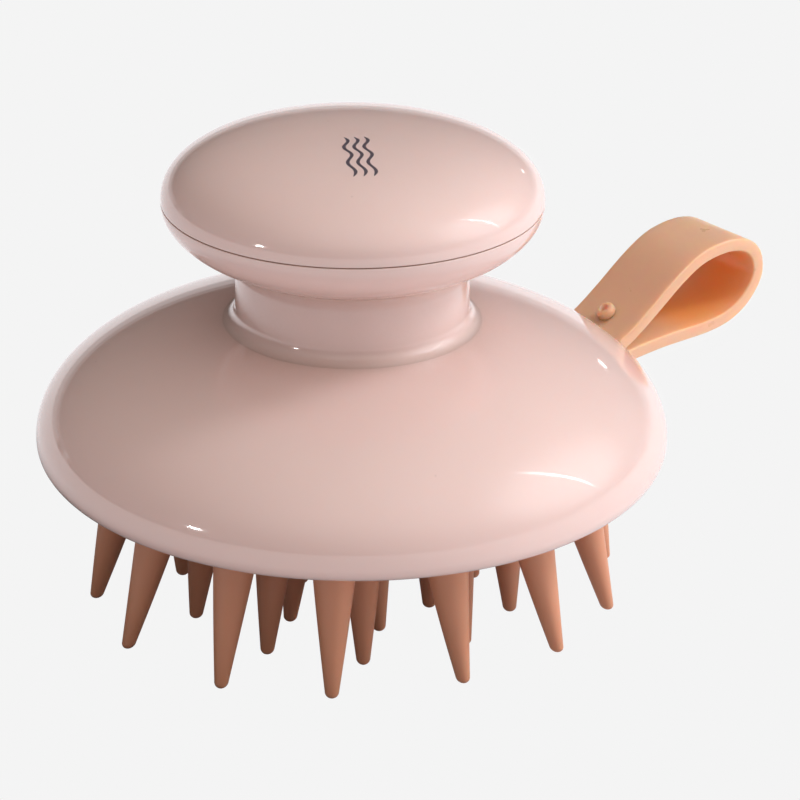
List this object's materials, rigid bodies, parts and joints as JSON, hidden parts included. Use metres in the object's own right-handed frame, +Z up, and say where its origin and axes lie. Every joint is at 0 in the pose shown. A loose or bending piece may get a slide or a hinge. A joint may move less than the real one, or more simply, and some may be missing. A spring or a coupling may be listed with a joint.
{
  "type": "scalp massager brush",
  "caption": "Palm-held scalp massager: round knob grip on a domed shell, soft cone bristles below and a hanging strap loop at the rim.",
  "frame": {"origin": "On the dome's axis, in the plane of the bristle tips, at the flat end of the middle bristle.", "axes": "+Z runs up through the knob, +X points along the strap, away from the dome, and +Y completes the right-handed set."},
  "size_m": [0.1266, 0.095, 0.0713],
  "materials": {
    "shell_pink": "glossy moulded ABS, pale dusty pink",
    "grip_pink": "glossy moulded ABS, pale dusty pink",
    "cap_pink": "glossy moulded ABS, pale dusty pink, with a small printed mark",
    "plate_pink": "moulded ABS, satin",
    "pad_brown": "soft thermoplastic rubber, matte",
    "bristle_brown": "soft thermoplastic rubber, matte",
    "strap_peach": "soft translucent thermoplastic rubber, satin",
    "steel": "plain steel"
  },
  "bodies": {
    "brush": {"dome_shell": "shell_pink", "grip_body": "grip_pink", "grip_cap": "cap_pink", "pad_plate": "plate_pink", "bristle_pad": "pad_brown", "neck_screw_1": "steel", "neck_screw_2": "steel", "neck_screw_3": "steel", "strap_bar": "steel", "bristle_outer_01": "bristle_brown", "bristle_outer_02": "bristle_brown", "bristle_outer_03": "bristle_brown", "bristle_outer_04": "bristle_brown", "bristle_outer_05": "bristle_brown", "bristle_outer_06": "bristle_brown", "bristle_outer_07": "bristle_brown", "bristle_outer_08": "bristle_brown", "bristle_outer_09": "bristle_brown", "bristle_outer_10": "bristle_brown", "bristle_outer_11": "bristle_brown", "bristle_outer_12": "bristle_brown", "bristle_outer_13": "bristle_brown", "bristle_outer_14": "bristle_brown", "bristle_outer_15": "bristle_brown", "bristle_middle_01": "bristle_brown", "bristle_middle_02": "bristle_brown", "bristle_middle_03": "bristle_brown", "bristle_middle_04": "bristle_brown", "bristle_middle_05": "bristle_brown", "bristle_middle_06": "bristle_brown", "bristle_middle_07": "bristle_brown", "bristle_middle_08": "bristle_brown", "bristle_middle_09": "bristle_brown", "bristle_middle_10": "bristle_brown", "bristle_middle_11": "bristle_brown", "bristle_middle_12": "bristle_brown", "bristle_inner_01": "bristle_brown", "bristle_inner_02": "bristle_brown", "bristle_inner_03": "bristle_brown", "bristle_inner_04": "bristle_brown", "bristle_inner_05": "bristle_brown", "bristle_inner_06": "bristle_brown", "bristle_inner_07": "bristle_brown", "bristle_inner_08": "bristle_brown", "bristle_inner_09": "bristle_brown", "bristle_inner_10": "bristle_brown", "bristle_core_01": "bristle_brown", "bristle_core_02": "bristle_brown", "bristle_core_03": "bristle_brown", "bristle_core_04": "bristle_brown", "bristle_core_05": "bristle_brown", "bristle_centre_01": "bristle_brown"},
    "strap": {"strap": "strap_peach"}
  },
  "joints": [
    {"name": "strap_swing", "type": "hinge", "parent": "brush", "child": "strap", "pos_m": [0.0388, 0, 0.0286], "axis": [0, -1, 0], "range_deg": [-3.5, 12]}
  ]
}
